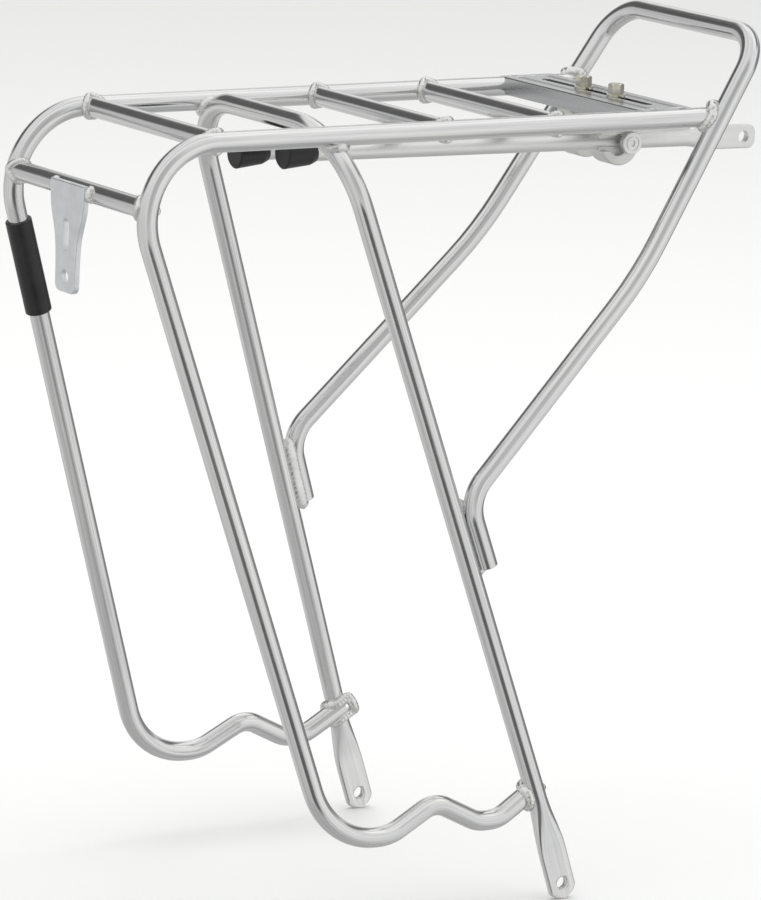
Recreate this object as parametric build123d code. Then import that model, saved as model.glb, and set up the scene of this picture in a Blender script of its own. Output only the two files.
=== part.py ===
from build123d import *
import math
import os

# Rear bicycle rack, millimetres. +X is forward, +Y is the bicycle's left, +Z is up.
# The origin lies midway between the two dropout holes.

# ---- driving dimensions -------------------------------------------------------
tube_od = 10.0
tube_wall = 2.0
deck_z = 376.7
deck_half_width = 62.4
bay_pitch = 65.0
rear_bar_x = -193.0
rear_bend_x = -246.4
rear_bend_radius = 37.5
rear_lean = 0.3241
hoop_floor_z = 34.0
hoop_end_x = -12.0
hoop_end_z = 50.6
hoop_end_inset = 2.72
lamp_bar_drop = 30.2

foot_half_spacing = 96.0
foot_tongue_width = 15.0
foot_tongue_thickness = 4.0
foot_hole_dia = 6.6
foot_tip_drop = 8.4
foot_flat_top_z = 20.0
leg_lean = 0.3412
arch_rise = 2.3
arch_shoulder_out = 8.04
arch_bend_radius = 42.0

loop_rise = 39.5
loop_corner_radius = 22.0
knee_x = 46.6
knee_out = 10.9
knee_drop = 76.5
knee_radius = 190.0
rail_end_x = 95.8
strut_out_at_rail = 3.9
stub_corner_z = 197.2
stub_end_z = 163.0
stub_bend_radius = 20.0
stub_seat = 0.1

plate_x = 65.5
plate_width = 32.0
plate_rise = 0.1
plate_height = 9.0
plate_wall = 3.0
slot_clearance = 0.3
slot_length = 96.0

stay_dia = 8.0
stay_drop = 17.6
stay_length = 279.7
stay_tab_width = 12.0
stay_tab_thickness = 4.0
stay_eye_dia = 6.2
stay_eye_from_end = 7.3
stay_bore_clearance = 0.08
cap_length = 18.4
cap_rear_wall = 3.4
cap_front_wall = 1.9
cap_end_wall = 2.0

clamp_radius = 11.5
clamp_thickness = 13.0
set_head_dia = 11.6
set_head_height = 3.3
set_bolt_x = 5.0
hex_flats = 7.0
hex_height = 5.4
washer_dia = 9.6
washer_height = 1.1
bolt_dia = 4.0
bolt_clearance = 0.06
plate_gap = 0.1

lamp_plate_thickness = 3.0
lamp_hole_dia = 7.0
lamp_slot_width = 5.6
lamp_slot_length = 15.6
sleeve_wall = 1.6
lamp_hole_drop = 42.1
lamp_slot_drop = 21.5
lamp_plate_top = 3.9
lamp_plate_tip_drop = 49.8
lamp_plate_tip_radius = 4.2
sleeve_top_drop = 55.7
sleeve_length_z = 47.0

# ---- worked out from them -------------------------------------------------------
r_out = tube_od / 2
r_in = tube_od / 2 - tube_wall
lamp_bar_z = deck_z - lamp_bar_drop
arch_top_z = deck_z + arch_rise
leg_splay = (foot_half_spacing - deck_half_width - arch_shoulder_out) / (
    arch_top_z - foot_flat_top_z
)
leg_half_at_hoop = foot_half_spacing - leg_splay * (hoop_end_z - foot_flat_top_z)
side_splay = (leg_half_at_hoop - hoop_end_inset - deck_half_width) / (deck_z - hoop_end_z)
loop_top_z = deck_z + loop_rise
knee = (knee_x, deck_half_width + knee_out, deck_z - knee_drop)
rail_crossing = (rail_end_x, deck_half_width + strut_out_at_rail)
plate_top_z = deck_z + r_out + plate_rise
slot_width = bolt_dia + 2 * slot_clearance
stay_z = deck_z - stay_drop
foot_round_z = hoop_end_z - 1.72 * r_out
sleeve_top_z = deck_z - sleeve_top_drop
sleeve_bottom_z = sleeve_top_z - sleeve_length_z
stay_bore_dia = stay_dia + 2 * stay_bore_clearance
cap_rear_dia = stay_dia + 2 * cap_rear_wall
cap_front_dia = stay_dia + 2 * cap_front_wall


# ---- helpers ------------------------------------------------------------------
def rounded_path(corners):
    """A wire of straight runs and tangent arcs. Each corner is (x, y, z, radius)."""
    pts = [Vector(*c[:3]) for c in corners]
    edges = []
    here = pts[0]
    for i in range(1, len(pts) - 1):
        r = corners[i][3]
        into = (pts[i] - pts[i - 1]).normalized()
        away = (pts[i + 1] - pts[i]).normalized()
        turn = math.radians(into.get_angle(away))
        reach = r * math.tan(turn / 2)
        first = pts[i] - into * reach
        last = pts[i] + away * reach
        inward = (away - into).normalized()
        middle = pts[i] + inward * (r / math.cos(turn / 2) - r)
        edges.append(Edge.make_line(here, first))
        edges.append(Edge.make_three_point_arc(first, middle, last))
        here = last
    edges.append(Edge.make_line(here, pts[-1]))
    return Wire(edges)


def rod(path, radius):
    """A round bar swept along a path."""
    start = Plane(origin=path @ 0, z_dir=path % 0)
    return sweep(start * Circle(radius), path=path)


def bar(a, b, radius):
    """A straight round bar between two points."""
    a = Vector(*a)
    b = Vector(*b)
    base = Plane(origin=a, z_dir=(b - a).normalized())
    return extrude(base * Circle(radius), amount=(b - a).length)


def pipe(path, outer=r_out, inner=r_in):
    """The full bar and the hollow tube of a bent path."""
    full = rod(path, outer)
    return full, full - rod(path, inner)


def save(name, shape):
    export_step(shape, f"parts/{name}.step")


os.makedirs("parts", exist_ok=True)
sides = (("right", -1), ("left", 1))


# ---- leg arch: one tube bent into an inverted U, ends pressed flat -------------
def leg_point(z, side):
    return (-leg_lean * z, side * (foot_half_spacing - leg_splay * (z - foot_flat_top_z)), z)


right_knee = leg_point(foot_round_z, -1)
left_knee = leg_point(foot_round_z, 1)
arch_path = rounded_path(
    [
        (*right_knee, 0),
        (*leg_point(arch_top_z, -1), arch_bend_radius),
        (*leg_point(arch_top_z, 1), arch_bend_radius),
        (*left_knee, 0),
    ]
)
arch_full, leg_arch = pipe(arch_path)


def pressed_foot(side):
    """The pressed end: round at the top, a flat tongue with a round tip and a hole below."""
    down = Vector(leg_lean, 0, -1).normalized()
    round_centre = Vector(*leg_point(foot_round_z, side))
    leg_dir = (Vector(*leg_point(foot_round_z, side)) - Vector(*leg_point(200, side))).normalized()
    top = Plane(origin=round_centre, z_dir=leg_dir, x_dir=(1, 0, leg_lean))
    flat_centre = Vector(-leg_lean * foot_flat_top_z, side * foot_half_spacing, foot_flat_top_z)
    flat = Plane(origin=flat_centre, z_dir=down, x_dir=(1, 0, leg_lean))
    neck = loft(
        [
            (top * Circle(r_out)).face(),
            (flat * RectangleRounded(foot_tongue_width, foot_tongue_thickness, 1.9)).face(),
        ]
    )
    face = Plane(origin=(0, side * foot_half_spacing, 0), z_dir=(0, 1, 0), x_dir=(1, 0, leg_lean))
    run = flat_centre - Vector(0, side * foot_half_spacing, 0)
    long_side = run.length
    up = face.to_local_coords(Vector(-leg_lean, side * foot_half_spacing, 1)).Y
    sign = 1 if up > 0 else -1
    tongue = Pos(0, sign * (long_side - foot_tip_drop) / 2) * RectangleRounded(
        foot_tongue_width, long_side + foot_tip_drop, 0.4
    )
    tip_cut = Pos(0, sign * (long_side - foot_tip_drop) / 2) * Rectangle(
        foot_tongue_width + 8, long_side + foot_tip_drop
    )
    tip_keep = Circle(foot_tip_drop) + Pos(0, sign * long_side / 2) * Rectangle(
        foot_tongue_width + 8, long_side
    )
    outline = tongue & (tip_cut & tip_keep)
    blade = extrude(face * outline, amount=foot_tongue_thickness / 2, both=True)
    hole = extrude(face * Circle(foot_hole_dia / 2), amount=10, both=True)
    return neck + blade - hole


feet = [pressed_foot(side) for _, side in sides]
leg_arch = leg_arch + feet[0] + feet[1]


# ---- side hoops: deck rail, rear bend, down tube and waved bottom rail ---------
def hoop_point(x, z, side, radius=0):
    return (x, side * (deck_half_width + side_splay * (deck_z - z)), z, radius)


def down_x(z):
    return rear_bend_x + rear_lean * (deck_z - z)


hoops_full = {}
hoops = {}
for name, side in sides:
    path = rounded_path(
        [
            hoop_point(rail_crossing[0], deck_z, side),
            hoop_point(rear_bend_x, deck_z, side, rear_bend_radius),
            hoop_point(down_x(hoop_floor_z), hoop_floor_z, side, rear_bend_radius),
            hoop_point(-100.0, hoop_floor_z, side, 26),
            hoop_point(-73.6, 48.0, side, 14),
            hoop_point(-49.0, 35.6, side, 18),
            hoop_point(-37.0, 35.6, side, 18),
            hoop_point(hoop_end_x, hoop_end_z, side),
        ]
    )
    hoops_full[name], hoops[name] = pipe(path)


# ---- front loop: one tube from the right leg, over the deck, to the left leg ---
def loop_side(side):
    lean_x = (rail_crossing[0] - knee[0]) / (deck_z - knee[2])
    lean_y = (rail_crossing[1] - knee[1]) / (deck_z - knee[2])
    rise = loop_top_z - deck_z
    top = (rail_crossing[0] + lean_x * rise, side * (rail_crossing[1] + lean_y * rise), loop_top_z)
    offset = tube_od - stub_seat
    back = math.atan(leg_lean)
    corner_x = -leg_lean * stub_corner_z + offset / math.cos(back)
    corner_y = foot_half_spacing - leg_splay * (stub_corner_z - foot_flat_top_z) + 0.8
    end_x = -leg_lean * stub_end_z + offset / math.cos(back)
    end_y = foot_half_spacing - leg_splay * (stub_end_z - foot_flat_top_z) + 0.8
    return [
        (end_x, side * end_y, stub_end_z, 0),
        (corner_x, side * corner_y, stub_corner_z, stub_bend_radius),
        (knee[0], side * knee[1], knee[2], knee_radius),
        (*top, loop_corner_radius),
    ]


loop_path = rounded_path(loop_side(-1) + loop_side(1)[::-1])
loop_full, front_loop = pipe(loop_path)

# ---- cross bars ----------------------------------------------------------------
bar_reach = deck_half_width + 2


def cross_bar(x, z, reach):
    full = bar((x, -reach, z), (x, reach, z), r_out)
    return full, full - bar((x, -reach, z), (x, reach, z), r_in)


deck_bars = {
    "crossbar_rear": cross_bar(rear_bar_x, deck_z, bar_reach),
    "crossbar_middle": cross_bar(rear_bar_x + 2 * bay_pitch, deck_z, bar_reach),
    "crossbar_front": cross_bar(rear_bar_x + 3 * bay_pitch, deck_z, bar_reach),
}
bend_centre_x = rear_bend_x + rear_bend_radius * math.tan(
    (math.pi / 2 + math.atan(rear_lean)) / 2
)
bend_centre_z = deck_z - rear_bend_radius
lamp_bar_x = bend_centre_x - math.sqrt(
    rear_bend_radius**2 - (lamp_bar_z - bend_centre_z) ** 2
)
lamp_full, lamp_bar = cross_bar(lamp_bar_x, lamp_bar_z, bar_reach + 2)

# ---- coped joints: every tube is cut to the tube it is welded to ----------------
front_loop = front_loop - arch_full
for name, _ in sides:
    hoops[name] = (hoops[name] - arch_full - loop_full).solids().sort_by(SortBy.VOLUME)[-1]
both_hoops = hoops_full["right"] + hoops_full["left"]
for name in deck_bars:
    cut = deck_bars[name][1] - both_hoops
    deck_bars[name] = cut.solids().sort_by(SortBy.VOLUME)[-1]
lamp_bar = (lamp_bar - both_hoops).solids().sort_by(SortBy.VOLUME)[-1]

# ---- slotted front plate: an inverted channel with one long slot ----------------
plate_bottom_z = plate_top_z - plate_height
channel = Pos(plate_x, 0, plate_top_z - plate_height / 2) * Box(
    plate_width, 2 * bar_reach, plate_height
)
channel = fillet(
    channel.edges().filter_by(Axis.Y).group_by(Axis.Z)[-1],
    0.8,
)
hollow = Pos(plate_x, 0, plate_bottom_z + (plate_height - plate_wall) / 2) * Box(
    plate_width - 2 * plate_wall, 2 * bar_reach, plate_height - plate_wall
)
slot = Pos(plate_x, 0, plate_top_z) * Box(slot_width, slot_length - slot_width, 12)
for end in (-1, 1):
    slot += Pos(plate_x, end * (slot_length - slot_width) / 2, plate_top_z) * Cylinder(
        slot_width / 2, 12
    )
grooves = Part()
for gx in (-9.5, -7.5, 7.5, 9.5):
    grooves += Pos(plate_x + gx, 0, plate_top_z) * Box(0.8, 2 * bar_reach, 0.6)
slotted_plate = (channel - hollow - slot - grooves - both_hoops).solids().sort_by(
    SortBy.VOLUME
)[-1]

# ---- rear light plate -------------------------------------------------------------
top_corner = (16.5, lamp_bar_z + lamp_plate_top)
shoulder = (16.2, lamp_bar_z - 4.5)
flank = [
    shoulder,
    (14.6, lamp_bar_z - 12.5),
    (12.0, lamp_bar_z - 19.5),
    (10.2, lamp_bar_z - 28.5),
    (9.6, lamp_bar_z - 38.5),
    (9.6, lamp_bar_z - lamp_plate_tip_drop + lamp_plate_tip_radius),
]
mirrored = [(-y, z) for y, z in flank]
tip_z = lamp_bar_z - lamp_plate_tip_drop
tip_y = flank[-1][0] - lamp_plate_tip_radius
diagonal = lamp_plate_tip_radius * math.cos(math.pi / 4)
round_y = tip_y + diagonal
round_z = tip_z + lamp_plate_tip_radius - diagonal
lamp_face = make_face(
    [
        Edge.make_line((-top_corner[0], top_corner[1]), top_corner),
        Edge.make_line(top_corner, shoulder),
        Spline(*flank).edge(),
        Edge.make_three_point_arc(flank[-1], (round_y, round_z), (tip_y, tip_z)),
        Edge.make_line((tip_y, tip_z), (-tip_y, tip_z)),
        Edge.make_three_point_arc((-tip_y, tip_z), (-round_y, round_z), mirrored[-1]),
        Spline(*mirrored).edge(),
        Edge.make_line(mirrored[0], (-top_corner[0], top_corner[1])),
    ]
)
lamp_face = lamp_face - Pos(0, lamp_bar_z - lamp_hole_drop) * Circle(lamp_hole_dia / 2)
lamp_face = lamp_face - Pos(0, lamp_bar_z - lamp_slot_drop) * Rot(0, 0, 90) * SlotOverall(
    lamp_slot_length, lamp_slot_width
)
lamp_plane = Plane(
    origin=(lamp_bar_x - r_out + 0.2, 0, 0),
    x_dir=(0, 1, 0),
    z_dir=(1, 0, 0),
)
lamp_plate = extrude(lamp_plane * lamp_face, amount=-lamp_plate_thickness)
lamp_rear = lamp_plate.faces().sort_by(Axis.X)[0]
lamp_plate = fillet(lamp_rear.outer_wire().edges(), 0.7)
lamp_plate = lamp_plate - lamp_full

# ---- protective sleeve on the left rear down tube ----------------------------------
sleeve_a = hoop_point(down_x(sleeve_top_z), sleeve_top_z, 1)[:3]
sleeve_b = hoop_point(down_x(sleeve_bottom_z), sleeve_bottom_z, 1)[:3]
sleeve = bar(sleeve_a, sleeve_b, r_out + sleeve_wall)
sleeve = fillet(sleeve.edges().filter_by(GeomType.CIRCLE), 0.5)
over = Vector(*sleeve_a) - Vector(*sleeve_b)
sleeve = sleeve - bar(
    tuple(Vector(*sleeve_a) + over * 0.2), tuple(Vector(*sleeve_b) - over * 0.2), r_out
)


# ---- adjustable stays ---------------------------------------------------------------
def stay_set(side, y, eye_x, tilt):
    """One stay with its cap, clamp, set bolt, slot bolt and washer."""
    pivot = Vector(plate_x, y, stay_z)
    lean = Pos(pivot.X, pivot.Y, pivot.Z) * Rot(0, tilt, 0)
    end = eye_x + stay_eye_from_end - plate_x
    tail = end - stay_length
    flat_start = end - 28
    round_end = flat_start - 14
    bar_part = Pos((tail + round_end) / 2, 0, 0) * Rot(0, 90, 0) * Cylinder(
        stay_dia / 2, round_end - tail
    )
    neck = loft(
        [
            (Plane(origin=(round_end, 0, 0), z_dir=(1, 0, 0), x_dir=(0, 0, 1))
             * Circle(stay_dia / 2)).face(),
            (Plane(origin=(flat_start, 0, 0), z_dir=(1, 0, 0), x_dir=(0, 0, 1))
             * RectangleRounded(stay_tab_width, stay_tab_thickness, 1.9)).face(),
        ]
    )
    blade = Pos((flat_start + end) / 2, 0, 0) * Box(28, stay_tab_thickness, stay_tab_width)
    blade = fillet(blade.edges().filter_by(Axis.Y).group_by(Axis.X)[-1], 4.0)
    rim = blade.edges().filter_by(lambda e: e.center().X > flat_start + 0.1)
    blade = fillet(rim.filter_by(GeomType.LINE).filter_by(Axis.X), 0.9)
    eye = Pos(end - stay_eye_from_end, 0, 0) * Rot(90, 0, 0) * Cylinder(stay_eye_dia / 2, 12)
    stay = lean * (bar_part + neck + blade - eye)

    cap_rear = tail - cap_end_wall
    profile = [
        (cap_rear, 0),
        (cap_rear, cap_rear_dia / 2 - 0.8),
        (cap_rear + 0.8, cap_rear_dia / 2),
        (cap_rear + cap_length - 3.5, cap_front_dia / 2),
        (cap_rear + cap_length - 1.0, cap_front_dia / 2 - 1.0),
        (cap_rear + cap_length, cap_front_dia / 2 - 1.5),
        (cap_rear + cap_length, stay_dia / 2),
        (tail, stay_dia / 2),
        (tail, 0),
    ]
    cap = lean * revolve(make_face(Polyline(*[(a, b, 0) for a, b in profile], close=True)), Axis.X)

    top_z = plate_top_z - plate_wall - plate_gap
    body = Pos(plate_x, y, (stay_z + top_z) / 2) * Box(
        2 * clamp_radius, clamp_thickness, top_z - stay_z
    )
    body += Pos(plate_x, y, stay_z) * Rot(90, 0, 0) * Cylinder(clamp_radius, clamp_thickness)
    body = chamfer(body.edges().filter_by(GeomType.CIRCLE), 0.6)
    body -= lean * Rot(0, 90, 0) * Cylinder(stay_bore_dia / 2, 60)
    body -= Pos(plate_x, y, top_z - 5) * Cylinder(bolt_dia / 2 + bolt_clearance, 12)
    outer = y + side * clamp_thickness / 2
    notch_x = plate_x - clamp_radius / 2
    body -= Pos(notch_x - 1, outer, stay_z) * Box(clamp_radius + 2, 6, stay_bore_dia)
    body -= Pos(plate_x - 1.5, outer, stay_z - 1.0) * Rot(90, 0, 0) * Cylinder(5.6, 6)
    set_x = plate_x + set_bolt_x
    body -= Pos(set_x, outer - side * 2, stay_z) * Rot(90, 0, 0) * Cylinder(bolt_dia / 2, 8)

    head = Pos(set_x, outer + side * set_head_height / 2, stay_z) * Rot(90, 0, 0) * Cylinder(
        set_head_dia / 2, set_head_height
    )
    head = fillet(head.edges().filter_by(GeomType.CIRCLE), 0.5)
    shank_end = y + side * (stay_dia / 2 + 0.3)
    shank_length = abs(outer - shank_end) + 0.5
    shank = Pos(set_x, shank_end + side * shank_length / 2, stay_z) * Rot(90, 0, 0) * Cylinder(
        bolt_dia / 2, shank_length
    )
    face = Pos(set_x, outer + side * set_head_height, stay_z) * Rot(90, 0, 0)
    groove = Cylinder(set_head_dia * 0.33, 0.7) - Cylinder(set_head_dia * 0.28, 0.7)
    hub = Cylinder(set_head_dia * 0.14, 1.2)
    set_bolt = head + shank - face * groove - face * hub

    washer = Pos(plate_x, y, plate_top_z + plate_gap + washer_height / 2) * (
        Cylinder(washer_dia / 2, washer_height) - Cylinder(bolt_dia / 2, washer_height)
    )
    head_z = plate_top_z + plate_gap + washer_height
    hexagon = extrude(
        Plane(origin=(plate_x, y, head_z)) * Rot(0, 0, 27.5)
        * RegularPolygon(hex_flats / math.sqrt(3), 6),
        amount=hex_height,
    )
    crown = Pos(plate_x, y, head_z + hex_height / 2) * Cylinder(
        hex_flats / math.sqrt(3) + 0.2, hex_height
    )
    crown = chamfer(crown.edges().filter_by(GeomType.CIRCLE), 0.7)
    hexagon = hexagon & crown
    bolt_low = plate_top_z - plate_wall - 10
    slot_bolt = hexagon + Pos(plate_x, y, (bolt_low + head_z) / 2) * Cylinder(
        bolt_dia / 2, head_z - bolt_low
    )
    return stay, cap, body, set_bolt, slot_bolt, washer


stay_right = stay_set(-1, -17.5, 144.5, 0.69)
stay_left = stay_set(1, 11.5, 134.7, -0.35)

# ---- files ---------------------------------------------------------------------------
save("leg_arch", leg_arch)
save("front_loop", front_loop)
for name, _ in sides:
    save(f"side_hoop_{name}", hoops[name])
for name, shape in deck_bars.items():
    save(name, shape)
save("lamp_crossbar", lamp_bar)
save("slotted_plate", slotted_plate)
save("light_bracket", lamp_plate)
save("tube_sleeve", sleeve)
labels = ("stay_rod", "stay_cap", "stay_clamp", "clamp_set_bolt", "slot_bolt", "slot_washer")
for name, group in (("right", stay_right), ("left", stay_left)):
    for label, shape in zip(labels, group):
        save(f"{label}_{name}", shape)
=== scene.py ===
import bpy
import math
import numpy as np
from mathutils import Matrix, Vector


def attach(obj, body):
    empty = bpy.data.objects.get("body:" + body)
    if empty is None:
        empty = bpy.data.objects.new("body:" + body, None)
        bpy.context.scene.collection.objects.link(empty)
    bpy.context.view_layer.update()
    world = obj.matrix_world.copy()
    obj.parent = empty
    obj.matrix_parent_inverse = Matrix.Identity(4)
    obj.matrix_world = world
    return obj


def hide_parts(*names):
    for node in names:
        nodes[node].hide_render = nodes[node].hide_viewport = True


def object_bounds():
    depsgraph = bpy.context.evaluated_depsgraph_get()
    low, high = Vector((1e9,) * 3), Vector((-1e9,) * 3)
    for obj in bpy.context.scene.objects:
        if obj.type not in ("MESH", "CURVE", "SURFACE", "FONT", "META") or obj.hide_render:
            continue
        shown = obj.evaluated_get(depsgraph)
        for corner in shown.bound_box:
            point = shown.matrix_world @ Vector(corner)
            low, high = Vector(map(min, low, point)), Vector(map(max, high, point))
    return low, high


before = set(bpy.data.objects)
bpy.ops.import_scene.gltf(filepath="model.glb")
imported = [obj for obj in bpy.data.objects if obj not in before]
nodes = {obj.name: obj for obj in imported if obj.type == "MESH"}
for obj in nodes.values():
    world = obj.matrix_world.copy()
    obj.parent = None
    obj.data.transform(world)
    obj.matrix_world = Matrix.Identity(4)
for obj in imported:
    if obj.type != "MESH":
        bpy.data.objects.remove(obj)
cad_low, cad_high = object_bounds()
MM = 0.001

# ---- dimensions of the frame tubes, millimetres, as in the CAD part -----------------
tube_r = 5.0
tube_wall = 2.0
deck_z = 376.7
deck_half_width = 62.4
side_splay = 0.088
bay_pitch = 65.0
rear_bar_x = -193.0
rear_bend_x = -246.4
rear_bend_radius = 37.5
rear_lean = 0.3241
hoop_floor_z = 34.0
lamp_bar_z = 346.5
foot_half_spacing = 96.0
foot_flat_top_z = 20.0
foot_round_z = 42.0
foot_tip_drop = 8.4
leg_lean = 0.3412
leg_splay = 0.0712
arch_top_z = 379.0
arch_bend_radius = 42.0
loop_top_z = 416.2
loop_corner_radius = 22.0
knee = (46.6, 73.3, 300.2)
knee_radius = 190.0
rail_crossing = (95.8, 66.3)
stub_corner_z = 197.2
stub_end_z = 163.0
stub_bend_radius = 20.0
plate_x = 65.5
plate_top_z = 381.8
sides = (("right", -1), ("left", 1))


# ---- small geometry helpers ---------------------------------------------------------
def unit(v):
    return v / np.linalg.norm(v)


def rounded(corners, run_step=9.0, turn_step=4.0):
    """Points along straight runs and tangent arcs. Each corner is (x, y, z, radius)."""
    pts = [np.array(c[:3], float) for c in corners]
    out = [pts[0]]

    def run(a, b):
        n = max(1, int(np.linalg.norm(b - a) / run_step))
        for k in range(1, n + 1):
            out.append(a + (b - a) * k / n)

    here = pts[0]
    for i in range(1, len(pts) - 1):
        r = corners[i][3]
        into = unit(pts[i] - pts[i - 1])
        away = unit(pts[i + 1] - pts[i])
        turn = math.acos(max(-1.0, min(1.0, float(into @ away))))
        reach = r * math.tan(turn / 2)
        run(here, pts[i] - into * reach)
        inward = unit(away - into)
        centre = pts[i] + inward * (r / math.cos(turn / 2))
        spoke = pts[i] - into * reach - centre
        n = max(2, int(math.degrees(turn) / turn_step))
        for k in range(1, n + 1):
            a = turn * k / n
            out.append(centre + spoke * math.cos(a) + into * r * math.sin(a))
        here = pts[i] + away * reach
    run(here, pts[-1])
    return np.array(out)


def lengths(points):
    return np.concatenate([[0.0], np.cumsum(np.linalg.norm(np.diff(points, axis=0), axis=1))])


def frames_along(points, first):
    """Tangents and two side vectors that turn as little as they can."""
    n = len(points)
    tangent = np.zeros((n, 3))
    tangent[1:-1] = points[2:] - points[:-2]
    tangent[0] = points[1] - points[0]
    tangent[-1] = points[-1] - points[-2]
    tangent /= np.linalg.norm(tangent, axis=1)[:, None]
    side = np.zeros((n, 3))
    v = np.array(first, float)
    for i in range(n):
        v = unit(v - tangent[i] * (v @ tangent[i]))
        side[i] = v
    return tangent, side, np.cross(tangent, side)


def make_object(name, verts, faces, uvs=None, sharp=40.0):
    """A smooth-shaded mesh object. verts are millimetres; uvs are per vertex, in metres."""
    mesh = bpy.data.meshes.new(name)
    mesh.from_pydata([tuple(v * MM) for v in np.asarray(verts, float)], [], faces)
    mesh.update()
    if uvs is not None:
        layer = mesh.uv_layers.new(name="along")
        for poly in mesh.polygons:
            loops = list(poly.loop_indices)
            us = [uvs[mesh.loops[k].vertex_index] for k in loops]
            wrap = max(u[0] for u in us) - min(u[0] for u in us) > uv_wrap / 2
            for k, (u, v) in zip(loops, us):
                if wrap and u < uv_wrap / 2:
                    u += uv_wrap
                layer.data[k].uv = (u, v)
    mesh.polygons.foreach_set("use_smooth", [True] * len(mesh.polygons))
    mesh.set_sharp_from_angle(angle=math.radians(sharp))
    obj = bpy.data.objects.new(name, mesh)
    bpy.context.scene.collection.objects.link(obj)
    return obj


uv_wrap = 2 * math.pi * tube_r * MM


def ring_points(centre, side, other, half_a, half_b, power, segments):
    """A circle, or a flattened rounded section when power is over 2."""
    out = []
    for k in range(segments):
        t = 2 * math.pi * k / segments
        c, s = math.cos(t), math.sin(t)
        a = half_a * math.copysign(abs(c) ** (2 / power), c)
        b = half_b * math.copysign(abs(s) ** (2 / power), s)
        out.append(centre + side * a + other * b)
    return out


def sweep(name, points, first, section=None, segments=40, hollow=(False, False), sharp=40.0):
    """A tube along points. section(length) gives (half_a, half_b, power)."""
    tangent, side, other = frames_along(points, first)
    along = lengths(points)
    section = section or (lambda s: (tube_r, tube_r, 2.0))
    rows = []
    if hollow[0]:
        inner = tube_r - tube_wall
        rows.append((points[0] + tangent[0] * 14, side[0], other[0], (inner, inner, 2.0), 0.014))
        rows.append((points[0] + tangent[0] * 0.3, side[0], other[0], (inner, inner, 2.0), 0.0))
        rows.append((points[0], side[0], other[0], (inner + 0.3, inner + 0.3, 2.0), 0.0))
        rows.append((points[0], side[0], other[0], (tube_r - 0.35, tube_r - 0.35, 2.0), 0.0))
        rows.append((points[0] + tangent[0] * 0.35, side[0], other[0], (tube_r, tube_r, 2.0), 0.0))
    for i, p in enumerate(points):
        if hollow[0] and along[i] < 0.5:
            continue
        if hollow[1] and along[-1] - along[i] < 0.5:
            continue
        rows.append((p, side[i], other[i], section(along[i]), along[i] * MM))
    if hollow[1]:
        inner = tube_r - tube_wall
        end, t = points[-1], tangent[-1]
        total = along[-1] * MM
        rows.append((end - t * 0.35, side[-1], other[-1], (tube_r, tube_r, 2.0), total))
        rows.append((end, side[-1], other[-1], (tube_r - 0.35, tube_r - 0.35, 2.0), total))
        rows.append((end, side[-1], other[-1], (inner + 0.3, inner + 0.3, 2.0), total))
        rows.append((end - t * 0.3, side[-1], other[-1], (inner, inner, 2.0), total))
        rows.append((end - t * 14, side[-1], other[-1], (inner, inner, 2.0), total - 0.014))
    verts = []
    uvs = []
    for centre, a, b, (ha, hb, power), v in rows:
        verts.extend(ring_points(centre, a, b, ha, hb, power, segments))
        uvs.extend([(uv_wrap * k / segments, v) for k in range(segments)])
    faces = []
    for i in range(len(rows) - 1):
        for k in range(segments):
            n = (k + 1) % segments
            faces.append(
                (
                    i * segments + k,
                    i * segments + n,
                    (i + 1) * segments + n,
                    (i + 1) * segments + k,
                )
            )
    faces.append(tuple(range(segments))[::-1])
    faces.append(tuple((len(rows) - 1) * segments + k for k in range(segments)))
    return make_object(name, verts, faces, uvs, sharp)


def distance_to(path, p):
    """Shortest distance from point p to the polyline path."""
    a, b = path[:-1], path[1:]
    ab = b - a
    t = np.clip(((p - a) * ab).sum(1) / (ab * ab).sum(1), 0, 1)
    return float(np.sqrt((((a + ab * t[:, None]) - p) ** 2).sum(1)).min())


# ---- routes of the tubes ------------------------------------------------------------
def leg_point(z, side):
    return (-leg_lean * z, side * (foot_half_spacing - leg_splay * (z - foot_flat_top_z)), z)


def hoop_point(x, z, side, radius=0.0):
    return (x, side * (deck_half_width + side_splay * (deck_z - z)), z, radius)


def down_x(z):
    return rear_bend_x + rear_lean * (deck_z - z)


def foot_point(z, side):
    return (-leg_lean * z, side * foot_half_spacing, z)


def arch_route():
    tip = -foot_tip_drop / math.hypot(1, leg_lean)
    half = [(*foot_point(tip, -1), 0)]
    half.append((*foot_point(foot_flat_top_z + 1, -1), 60.0))
    half.append((*leg_point(arch_top_z, -1), arch_bend_radius))
    other = [(*leg_point(arch_top_z, 1), arch_bend_radius)]
    other.append((*foot_point(foot_flat_top_z + 1, 1), 60.0))
    other.append((*foot_point(tip, 1), 0))
    return rounded(half + other, run_step=1.2)


def hoop_route(side):
    return rounded(
        [
            hoop_point(rail_crossing[0] - 2.5, deck_z, side),
            hoop_point(rear_bend_x, deck_z, side, rear_bend_radius),
            hoop_point(down_x(hoop_floor_z), hoop_floor_z, side, rear_bend_radius),
            hoop_point(-100.0, hoop_floor_z, side, 26),
            hoop_point(-73.6, 48.0, side, 14),
            hoop_point(-49.0, 35.6, side, 18),
            hoop_point(-37.0, 35.6, side, 18),
            hoop_point(-14.5, 49.2, side),
        ]
    )


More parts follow.
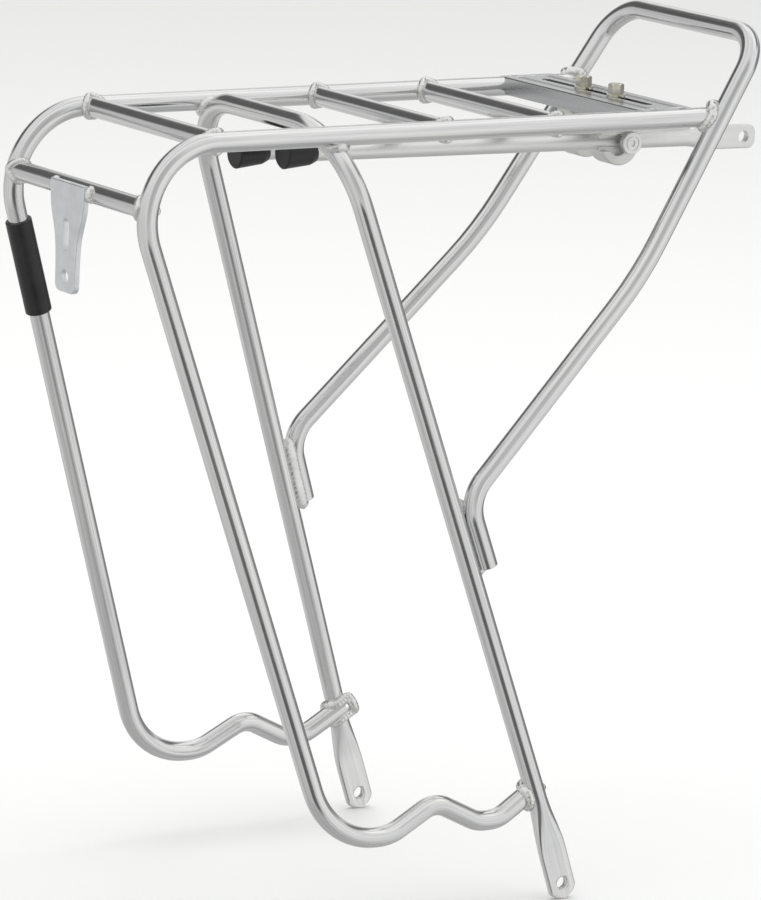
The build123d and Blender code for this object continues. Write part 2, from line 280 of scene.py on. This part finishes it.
def loop_corners(side):
    lean_x = (rail_crossing[0] - knee[0]) / (deck_z - knee[2])
    lean_y = (rail_crossing[1] - knee[1]) / (deck_z - knee[2])
    rise = loop_top_z - deck_z
    offset = 9.9 / math.cos(math.atan(leg_lean))

    def stub(z):
        y = foot_half_spacing - leg_splay * (z - foot_flat_top_z) + 0.8
        return (-leg_lean * z + offset, side * y, z)

    top = (rail_crossing[0] + lean_x * rise, side * (rail_crossing[1] + lean_y * rise), loop_top_z)
    return [
        (*stub(stub_end_z), 0),
        (*stub(stub_corner_z), stub_bend_radius),
        (knee[0], side * knee[1], knee[2], knee_radius),
        (*top, loop_corner_radius),
    ]


arch_path = arch_route()
hoop_paths = {name: hoop_route(side) for name, side in sides}
loop_path = rounded(loop_corners(-1) + loop_corners(1)[::-1], turn_step=3.0)
bend_centre_x = rear_bend_x + rear_bend_radius * math.tan((math.pi / 2 + math.atan(rear_lean)) / 2)
bend_centre_z = deck_z - rear_bend_radius
lamp_bar_x = bend_centre_x - math.sqrt(rear_bend_radius**2 - (lamp_bar_z - bend_centre_z) ** 2)
bars = {
    "crossbar_rear": (rear_bar_x, deck_z),
    "crossbar_middle": (rear_bar_x + 2 * bay_pitch, deck_z),
    "crossbar_front": (rear_bar_x + 3 * bay_pitch, deck_z),
    "lamp_crossbar": (lamp_bar_x, lamp_bar_z),
}


# ---- materials ----------------------------------------------------------------------
def new_material(name, colour, metallic, rough):
    mat = bpy.data.materials.new(name)
    mat.use_nodes = True
    nt = mat.node_tree
    shader = nt.nodes["Principled BSDF"]
    shader.inputs["Base Color"].default_value = (*colour, 1)
    shader.inputs["Metallic"].default_value = metallic
    shader.inputs["Roughness"].default_value = rough
    return mat, nt, shader


def noise(nt, vector, scale, detail=3.0, rough=0.5):
    n = nt.nodes.new("ShaderNodeTexNoise")
    n.inputs["Scale"].default_value = scale
    n.inputs["Detail"].default_value = detail
    n.inputs["Roughness"].default_value = rough
    nt.links.new(vector, n.inputs["Vector"])
    return n.outputs["Fac"]


def stretched(nt, source, scale):
    m = nt.nodes.new("ShaderNodeMapping")
    m.inputs["Scale"].default_value = scale
    nt.links.new(source, m.inputs["Vector"])
    return m.outputs["Vector"]


def ranged(nt, value, low, high, a=0.3, b=0.7):
    m = nt.nodes.new("ShaderNodeMapRange")
    m.inputs["From Min"].default_value = a
    m.inputs["From Max"].default_value = b
    m.inputs["To Min"].default_value = low
    m.inputs["To Max"].default_value = high
    nt.links.new(value, m.inputs["Value"])
    return m.outputs["Result"]


def mixed(nt, factor, colour_a, colour_b):
    m = nt.nodes.new("ShaderNodeMix")
    m.data_type = "RGBA"
    m.inputs["A"].default_value = (*colour_a, 1)
    m.inputs["B"].default_value = (*colour_b, 1)
    nt.links.new(factor, m.inputs["Factor"])
    return m.outputs["Result"]


def bumped(nt, shader, height, strength, distance):
    b = nt.nodes.new("ShaderNodeBump")
    b.inputs["Strength"].default_value = strength
    b.inputs["Distance"].default_value = distance
    nt.links.new(height, b.inputs["Height"])
    nt.links.new(b.outputs["Normal"], shader.inputs["Normal"])
    return b


def uv_coords(nt):
    n = nt.nodes.new("ShaderNodeUVMap")
    n.uv_map = "along"
    return n.outputs["UV"]


def object_coords(nt):
    return nt.nodes.new("ShaderNodeTexCoord").outputs["Object"]


def drawn_tube(name, dark, light, rough_low, rough_high):
    """Bare aluminium tube: faint lines along its length, cloudy sheen, small handling marks."""
    mat, nt, shader = new_material(name, light, 1.0, rough_low)
    uv = uv_coords(nt)
    lines = noise(nt, stretched(nt, uv, (3600, 16, 1)), 1.0, 4.0, 0.65)
    cloud = noise(nt, stretched(nt, uv, (240, 60, 1)), 1.0, 4.0, 0.6)
    rough = nt.nodes.new("ShaderNodeMath")
    rough.operation = "ADD"
    nt.links.new(ranged(nt, lines, 0.0, (rough_high - rough_low) * 0.5), rough.inputs[0])
    nt.links.new(
        ranged(nt, cloud, rough_low, rough_low + (rough_high - rough_low) * 0.5), rough.inputs[1]
    )
    nt.links.new(rough.outputs[0], shader.inputs["Roughness"])
    tone = noise(nt, stretched(nt, uv, (900, 9, 1)), 1.0, 4.0, 0.62)
    nt.links.new(
        mixed(nt, ranged(nt, tone, 0.0, 1.0), dark, light), shader.inputs["Base Color"]
    )
    bumped(nt, shader, lines, 0.22, 0.00005)
    return mat


def worked_metal(name, dark, light, rough_low, rough_high, grain, bump, stretch=(1, 1, 1)):
    """Metal with an all-over grain taken from the object's own coordinates."""
    mat, nt, shader = new_material(name, light, 1.0, rough_low)
    where = stretched(nt, object_coords(nt), stretch)
    fine = noise(nt, where, grain, 4.0, 0.6)
    broad = noise(nt, where, grain * 0.08, 3.0, 0.5)
    nt.links.new(ranged(nt, fine, rough_low, rough_high), shader.inputs["Roughness"])
    nt.links.new(
        mixed(nt, ranged(nt, broad, 0.0, 1.0), dark, light), shader.inputs["Base Color"]
    )
    bumped(nt, shader, fine, bump, 0.0001)
    return mat


def moulded(name, colour, rough_low, rough_high, grain, bump):
    """Black rubber or vinyl with a fine pebbled skin."""
    mat, nt, shader = new_material(name, colour, 0.0, rough_low)
    where = object_coords(nt)
    fine = noise(nt, where, grain, 3.0, 0.6)
    broad = noise(nt, where, 120, 2.0, 0.5)
    nt.links.new(ranged(nt, broad, rough_low, rough_high), shader.inputs["Roughness"])
    lighter = tuple(c * 1.9 + 0.004 for c in colour)
    nt.links.new(
        mixed(nt, ranged(nt, broad, 0.0, 1.0), colour, lighter), shader.inputs["Base Color"]
    )
    bumped(nt, shader, fine, bump, 0.0001)
    return mat


tube_mat = drawn_tube("bare_tube", (0.62, 0.63, 0.64), (0.86, 0.86, 0.85), 0.1, 0.24)
weld_mat = worked_metal("weld_bead", (0.74, 0.74, 0.73), (0.88, 0.88, 0.87), 0.2, 0.36, 1500, 0.2)
plate_mat = worked_metal(
    "extruded_plate", (0.52, 0.53, 0.54), (0.62, 0.63, 0.64), 0.16, 0.3, 2400, 0.12, (1, 0.03, 1)
)
bracket_mat = worked_metal(
    "pressed_plate", (0.76, 0.78, 0.80), (0.86, 0.88, 0.90), 0.34, 0.46, 1800, 0.2
)
rod_mat = worked_metal(
    "satin_rod", (0.82, 0.82, 0.81), (0.90, 0.90, 0.89), 0.44, 0.56, 2600, 0.12, (0.03, 1, 1)
)
cast_mat = worked_metal(
    "tumbled_casting", (0.80, 0.80, 0.78), (0.89, 0.89, 0.87), 0.48, 0.62, 1400, 0.45
)
zinc_mat = worked_metal("zinc_plate", (0.66, 0.63, 0.53), (0.88, 0.85, 0.76), 0.08, 0.2, 2000, 0.1)
screw_mat = worked_metal("screw_face", (0.86, 0.86, 0.85), (0.93, 0.93, 0.92), 0.36, 0.5, 2000, 0.15)
rubber_mat = moulded("black_rubber", (0.006, 0.006, 0.007), 0.36, 0.48, 3000, 0.18)
vinyl_mat = moulded("black_vinyl", (0.005, 0.005, 0.006), 0.3, 0.42, 2200, 0.2)


def dress(obj, mat):
    obj.data.materials.clear()
    obj.data.materials.append(mat)


# ---- tubes --------------------------------------------------------------------------
def finish_piece(obj, mat, body, slot, *replaced):
    dress(obj, mat)
    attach(obj, body)
    if replaced:
        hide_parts(*replaced)
    return obj


def ease(t):
    t = max(0.0, min(1.0, t))
    return t * t * (3 - 2 * t)


def arch_section_maker(total):
    neck_low = (foot_flat_top_z + foot_tip_drop) * math.hypot(1, leg_lean)
    neck_high = (foot_round_z + 4 + foot_tip_drop) * math.hypot(1, leg_lean)
    half_width = 7.5

    def section(s):
        s = min(s, total - s)
        flat = 1 - ease((s - neck_low * 0.8) / (neck_high - neck_low * 0.8))
        a = tube_r + (half_width - tube_r) * flat
        b = tube_r + (2.0 - tube_r) * flat
        power = 2.0 + 3.4 * flat**2
        tip = foot_tip_drop - s
        if tip > 0:
            round_tip = math.sqrt(max(foot_tip_drop**2 - tip**2, 0.0))
            a = min(a, max(round_tip, 0.3))
        return a, b, power

    return section


def hole_through(obj, centre, axis, radius, depth=12.0, segments=40):
    """Cuts a round hole and applies the cut."""
    axis = unit(np.array(axis, float))
    helper = np.array([0.0, 0.0, 1.0]) if abs(axis[2]) < 0.9 else np.array([1.0, 0.0, 0.0])
    a = unit(np.cross(axis, helper))
    b = np.cross(axis, a)
    verts = []
    for end in (-1, 1):
        for k in range(segments):
            t = 2 * math.pi * k / segments
            verts.append(
                np.array(centre) + axis * end * depth / 2
                + (a * math.cos(t) + b * math.sin(t)) * radius
            )
    faces = [tuple(range(segments))[::-1], tuple(range(segments, 2 * segments))]
    for k in range(segments):
        n = (k + 1) % segments
        faces.append((k, n, segments + n, segments + k))
    cutter = make_object("hole_cutter", verts, faces)
    mod = obj.modifiers.new("hole", "BOOLEAN")
    mod.operation = "DIFFERENCE"
    mod.solver = "EXACT"
    mod.object = cutter
    bpy.context.view_layer.update()
    result = bpy.data.meshes.new_from_object(
        obj.evaluated_get(bpy.context.evaluated_depsgraph_get())
    )
    obj.modifiers.clear()
    old = obj.data
    obj.data = result
    bpy.data.meshes.remove(old)
    bpy.data.objects.remove(cutter)
    return obj


arch_total = lengths(arch_path)[-1]
arch = sweep(
    "leg_arch_tube",
    arch_path,
    (1, 0, leg_lean),
    arch_section_maker(arch_total),
    segments=48,
)
for name, side in sides:
    hole_through(arch, (0, side * foot_half_spacing, 0), (0, 1, 0), 3.3)
finish_piece(arch, tube_mat, "frame", "tube_aluminium", "leg_arch")

for name, side in sides:
    hoop = sweep(f"side_hoop_tube_{name}", hoop_paths[name], (0, 1, 0))
    finish_piece(hoop, tube_mat, "frame", "tube_aluminium", f"side_hoop_{name}")

loop = sweep("front_loop_tube", loop_path, (0, 1, 0), hollow=(True, True))
finish_piece(loop, tube_mat, "frame", "tube_aluminium", "front_loop")

for name, (x, z) in bars.items():
    reach = deck_half_width + side_splay * (deck_z - z) - 1.5
    ys = np.linspace(-reach, reach, 13)
    bar = sweep(f"{name}_tube", np.array([(x, y, z) for y in ys]), (1, 0, 0))
    finish_piece(bar, tube_mat, "frame", "tube_aluminium", name)


# ---- welds --------------------------------------------------------------------------
def collar(end, inward, host, stand=0.6, count=144):
    """The line round a tube's end, just short of the host's skin. inward points up the guest."""
    end = np.array(end, float)
    inward = unit(np.array(inward, float))
    helper = np.array([0.13, 0.31, 0.94]) if abs(inward[2]) < 0.9 else np.array([1.0, 0.2, 0.1])
    a = unit(np.cross(inward, helper))
    b = np.cross(inward, a)
    line = []
    for k in range(count):
        t = 2 * math.pi * k / count
        rim = end + (a * math.cos(t) + b * math.sin(t)) * (tube_r + 0.1)
        s = 26.0
        while s > -4 and distance_to(host, rim + inward * (s - 0.25)) > tube_r + stand:
            s -= 0.25
        line.append(rim + inward * s)
    return np.array(line)


def crossing(host, guest, near, count=144):
    """The closed line where the host tube's skin meets a tube that passes beside it."""
    near = np.array(near, float)
    tangent, side, other = frames_along(host, (0.13, 0.31, 0.94))
    along = lengths(host)
    i = int(np.argmin(((host - near) ** 2).sum(1)))

    def skin(s, angle):
        s = min(max(s, 0.0), along[-1])
        k = min(max(int(np.searchsorted(along, s)) - 1, 0), len(host) - 2)
        t = (s - along[k]) / (along[k + 1] - along[k])
        c = host[k] + (host[k + 1] - host[k]) * t
        n = unit(side[k] * (1 - t) + side[k + 1] * t) * math.cos(angle)
        n = n + unit(other[k] * (1 - t) + other[k + 1] * t) * math.sin(angle)
        return c + n * tube_r

    places = [(along[i] + ds, k * math.pi / 36) for ds in np.linspace(-7, 7, 15) for k in range(72)]
    s0, a0 = min(places, key=lambda p: distance_to(guest, skin(*p)))
    line = []
    for k in range(count):
        t = 2 * math.pi * k / count
        low, high = 0.0, 22.0
        for _ in range(20):
            mid = (low + high) / 2
            p = skin(s0 + mid * math.cos(t), a0 + mid * math.sin(t) / tube_r)
            if distance_to(guest, p) < tube_r:
                low = mid
            else:
                high = mid
        line.append(skin(s0 + low * math.cos(t), a0 + low * math.sin(t) / tube_r))
    return np.array(line)


def resample(points, step, closed):
    pts = np.vstack([points, points[:1]]) if closed else points
    along = lengths(pts)
    n = max(8, int(round(along[-1] / step)))
    at = np.linspace(0, along[-1], n + 1)
    out = np.stack([np.interp(at, along, pts[:, c]) for c in range(3)], axis=1)
    return out[:-1] if closed else out


def bead(name, line, radius, closed=True, pitch=1.5, ripple=0.16, seed=1, flat=1.0, out=None):
    """A weld bead: a soft roll along a line, laid down in small overlapping crescents."""
    rng = np.random.default_rng(seed)
    pts = resample(line, 0.3, closed)
    n = len(pts)
    segments = 14
    if closed:
        nxt, prv = np.roll(pts, -1, 0), np.roll(pts, 1, 0)
    else:
        nxt, prv = np.vstack([pts[1:], pts[-1:]]), np.vstack([pts[:1], pts[:-1]])
    tangent = nxt - prv
    tangent /= np.linalg.norm(tangent, axis=1)[:, None]
    centre = pts.mean(0)
    steps = lengths(pts)
    wobble = np.interp(
        np.arange(n) / n * 16,
        np.arange(17),
        np.append(rng.uniform(-1, 1, 16), 0.0),
    )
    verts = []
    for i in range(n):
        v = out if out is not None else pts[i] - centre
        v = unit(v - tangent[i] * (v @ tangent[i]))
        w = np.cross(tangent[i], v)
        taper = 1.0
        if not closed:
            edge = min(steps[i], steps[-1] - steps[i])
            taper = math.sqrt(max(0.02, min(1.0, edge / radius)))
        for k in range(segments):
            t = 2 * math.pi * k / segments
            phase = (steps[i] + 0.55 * pitch * abs(math.sin(t))) / pitch
            scallop = 1 - abs(((phase % 1.0) - 0.35)) * 1.2
            r = radius * (1 + ripple * scallop + 0.07 * wobble[i]) * taper
            verts.append(pts[i] + v * math.cos(t) * r * flat + w * math.sin(t) * r)
    faces = []
    last = n if closed else n - 1
    for i in range(last):
        j = (i + 1) % n
        for k in range(segments):
            m = (k + 1) % segments
            faces.append((i * segments + k, i * segments + m, j * segments + m, j * segments + k))
    if not closed:
        faces.append(tuple(range(segments))[::-1])
        faces.append(tuple((n - 1) * segments + k for k in range(segments)))
    obj = make_object(name, verts, faces, None, 60.0)
    finish_piece(obj, weld_mat, "frame", "tube_aluminium")
    return obj


plate_weld_half = 14
bracket_weld_out = 16.8
seed = 10
for name, side in sides:
    hoop_path = hoop_paths[name]
    for bar_name, (x, z) in bars.items():
        y = side * (deck_half_width + side_splay * (deck_z - z))
        line = collar((x, y, z), (0, -side, 0), hoop_path, stand=0.2)
        bead(f"weld_{bar_name}_{name}", line, 1.6, seed=seed)
        seed += 1
    arch_x = -leg_lean * deck_z
    line = crossing(hoop_path, arch_path, (arch_x, side * deck_half_width, deck_z - 5))
    bead(f"weld_arch_{name}", line, 3.0, pitch=2.4, ripple=0.1, seed=seed)
    line = collar(hoop_path[-1], hoop_path[-3] - hoop_path[-1], arch_path)
    bead(f"weld_hoop_end_{name}", line, 2.3, pitch=1.8, seed=seed + 1)
    line = collar(hoop_path[0], hoop_path[1] - hoop_path[0], loop_path)
    bead(f"weld_rail_loop_{name}", line, 2.3, pitch=2.2, ripple=0.22, seed=seed + 2)
    crown = line[line[:, 2] > deck_z + 1.5]
    crown = crown[np.argsort(crown[:, 1])] + np.array([-0.6, 0.0, 0.5])
    bead(
        f"weld_crown_{name}", crown, 2.9, closed=False, pitch=4.0, ripple=0.04, seed=seed + 6,
        out=np.array([-0.6, 0.0, 0.8]),
    )
    stub = np.array(loop_corners(side)[0][:3])
    corner = np.array(loop_corners(side)[1][:3])
    leg_a = np.array(leg_point(stub[2], side))
    mid = (stub + leg_a) / 2
    run = corner - stub
    inward = np.array([0.0, -side, 0.0])
    ahead = unit(stub - leg_a)
    base = mid + ahead * 1.0
    groove = [base + run * t + inward * 3.1 for t in np.linspace(0.0, 1.0, 20)]
    curl = [base - run * 0.045 + ahead * d + inward * 2.9 for d in (4.4, 3.0, 1.6)]
    groove = np.array(curl + groove)
    bead(
        f"weld_stub_{name}", groove, 3.9, closed=False, pitch=2.7, ripple=0.09, seed=seed + 3,
        flat=0.55, out=inward,
    )
    plate_line = np.array(
        [
            (plate_x + d, side * (deck_half_width - 2.6), plate_top_z - 1.2)
            for d in np.linspace(-plate_weld_half, plate_weld_half, 20)
        ]
    )
    bead(
        f"weld_plate_{name}", plate_line, 1.3, closed=False, pitch=1.6, seed=seed + 4,
        out=np.array([0.0, -0.4 * side, 1.0]),
    )
    seed += 5

for name, side in sides:
    corner_line = np.array(
        [
            (
                lamp_bar_x - 5.1 + 2.6 * (2 * t - 1) ** 2,
                side * (bracket_weld_out + 1.0 * t),
                lamp_bar_z + 3.9 - 7.4 * t,
            )
            for t in np.linspace(0, 1, 10)
        ]
    )
    bead(
        f"weld_bracket_{name}", corner_line, 2.2, closed=False, pitch=2.4, ripple=0.14,
        seed=80 + side, out=np.array([-1.0, 0.0, 0.0]),
    )

# ---- carried-over nodes -------------------------------------------------------------
looks = {
    "slotted_plate": plate_mat,
    "light_bracket": bracket_mat,
    "tube_sleeve": vinyl_mat,
}
for name, _ in sides:
    looks[f"stay_rod_{name}"] = rod_mat
    looks[f"stay_cap_{name}"] = rubber_mat
    looks[f"stay_clamp_{name}"] = cast_mat
    looks[f"clamp_set_bolt_{name}"] = screw_mat
    looks[f"slot_bolt_{name}"] = zinc_mat
    looks[f"slot_washer_{name}"] = zinc_mat
for node, mat in looks.items():
    dress(nodes[node], mat)

# ---- floor, light and camera --------------------------------------------------------
floor_z = cad_low.z
mesh = bpy.data.meshes.new("floor")
size = 14.0
mesh.from_pydata(
    [(-size, -size, floor_z), (size, -size, floor_z), (size, size, floor_z), (-size, size, floor_z)],
    [],
    [(0, 1, 2, 3)],
)
floor = bpy.data.objects.new("floor", mesh)
bpy.context.scene.collection.objects.link(floor)
floor_mat, _, _ = new_material("pale_floor", (0.94, 0.94, 0.94), 0.0, 0.9)
dress(floor, floor_mat)
floor.visible_glossy = False


def add_area(name, place, target, size_x, size_y, power):
    data = bpy.data.lights.new(name, "AREA")
    data.shape = "RECTANGLE"
    data.size = size_x
    data.size_y = size_y
    data.energy = power
    obj = bpy.data.objects.new(name, data)
    bpy.context.scene.collection.objects.link(obj)
    obj.location = place
    obj.rotation_euler = (Vector(target) - Vector(place)).to_track_quat("-Z", "Y").to_euler()
    obj.visible_glossy = False
    return obj


add_area("overhead_softbox", (0.3, 0.4, 2.8), (0, 0, 0.2), 3.0, 3.0, 36)

world = bpy.data.worlds.new("studio")
bpy.context.scene.world = world
world.use_nodes = True
wt = world.node_tree
background = wt.nodes["Background"]
direction = wt.nodes.new("ShaderNodeTexCoord").outputs["Generated"]


def maths(operation, a, b=0.0, c=0.0):
    m = wt.nodes.new("ShaderNodeMath")
    m.operation = operation
    for socket, value in zip(m.inputs, (a, b, c)):
        if hasattr(value, "links"):
            wt.links.new(value, socket)
        else:
            socket.default_value = value
    return m.outputs[0]


split = wt.nodes.new("ShaderNodeSeparateXYZ")
wt.links.new(direction, split.inputs[0])
height = maths("MULTIPLY", maths("ARCSINE", split.outputs["Z"]), 180 / math.pi)
heading = maths(
    "MULTIPLY", maths("ARCTAN2", split.outputs["X"], split.outputs["Y"]), 180 / math.pi
)


def patch(below, azimuth, elevation, half_wide, half_high, level, soft=0.3):
    """A soft oval of the room, in degrees: a softbox when bright, a dark flag when dim."""
    across = maths("DIVIDE", maths("WRAP", maths("SUBTRACT", heading, azimuth), 180, -180), half_wide)
    upward = maths("DIVIDE", maths("SUBTRACT", height, elevation), half_high)
    radius = maths(
        "SQRT", maths("ADD", maths("MULTIPLY", across, across), maths("MULTIPLY", upward, upward))
    )
    m = wt.nodes.new("ShaderNodeMapRange")
    m.interpolation_type = "SMOOTHSTEP"
    m.inputs["From Min"].default_value = 1 + soft
    m.inputs["From Max"].default_value = 1 - soft
    wt.links.new(radius, m.inputs["Value"])
    mix = wt.nodes.new("ShaderNodeMix")
    mix.data_type = "FLOAT"
    mix.inputs["B"].default_value = level
    wt.links.new(m.outputs["Result"], mix.inputs["Factor"])
    wt.links.new(below, mix.inputs["A"])
    return mix.outputs["Result"]


ramp = wt.nodes.new("ShaderNodeValToRGB")
stops = ((0.0, 0.5), (0.26, 0.52), (0.34, 0.72), (0.5, 0.72), (0.62, 0.8), (0.72, 0.9), (1.0, 0.9))
while len(ramp.color_ramp.elements) < len(stops):
    ramp.color_ramp.elements.new(0.5)
for element, (at, value) in zip(ramp.color_ramp.elements, stops):
    element.position = at
    element.color = (value, value, value, 1)
wt.links.new(maths("ADD", maths("DIVIDE", height, 180), 0.5), ramp.inputs["Fac"])
level = ramp.outputs["Color"]
# azimuth, elevation, half width, half height, level, softness
patches = (
    (135, 12, 42, 42, 0.9, 0.4),  # bright right side
    (-168, 25, 26, 26, 0.55, 0.4),  # room behind the camera
    (0, -2, 50, 20, 0.62, 0.4),  # dim far wall, low down
    (70, 53, 58, 14, 1.12, 0.15),  # long overhead key
    (30, 32, 14, 16, 0.95, 0.25),  # end of the key
    (-17, 28, 34, 17, 0.12, 0.25),  # dark flag over the far wall
    (70, 31, 34, 11, 0.17, 0.2),  # dark flag under the key
    (86, 2, 24, 15, 0.3, 0.3),  # dark flag low on the right
    (-157, -24, 23, 12, 0.13, 0.25),  # dark flag by the floor, left
    (60, -8, 30, 14, 0.24, 0.3),  # dark low band on the right
    (56, 16, 18, 5, 0.75, 0.3),  # thin bright strip
)
for values in patches:
    level = patch(level, *values)
wt.links.new(level, background.inputs["Strength"])
background.inputs["Color"].default_value = (1.0, 1.0, 0.99, 1)

yaw, pitch, roll = math.radians(32.5), math.radians(11.313), math.radians(2.281)
forward = Vector((math.sin(yaw) * math.cos(pitch), math.cos(yaw) * math.cos(pitch), -math.sin(pitch)))
right = Vector((math.cos(yaw), -math.sin(yaw), 0))
up = right.cross(forward)
cam_x = math.cos(roll) * right + math.sin(roll) * up
cam_y = -math.sin(roll) * right + math.cos(roll) * up
cam_data = bpy.data.cameras.new("camera")
cam_data.sensor_fit = "HORIZONTAL"
cam_data.sensor_width = 36.0
cam_data.lens = 5989.68 * 36.0 / 761.0
cam = bpy.data.objects.new("camera", cam_data)
bpy.context.scene.collection.objects.link(cam)
place = Matrix((cam_x, cam_y, -forward)).transposed().to_4x4()
place.translation = Vector((-1.635229, -2.480160, 0.794050))
cam.matrix_world = place
bpy.context.scene.camera = cam
bpy.context.scene.view_settings.view_transform = "Standard"
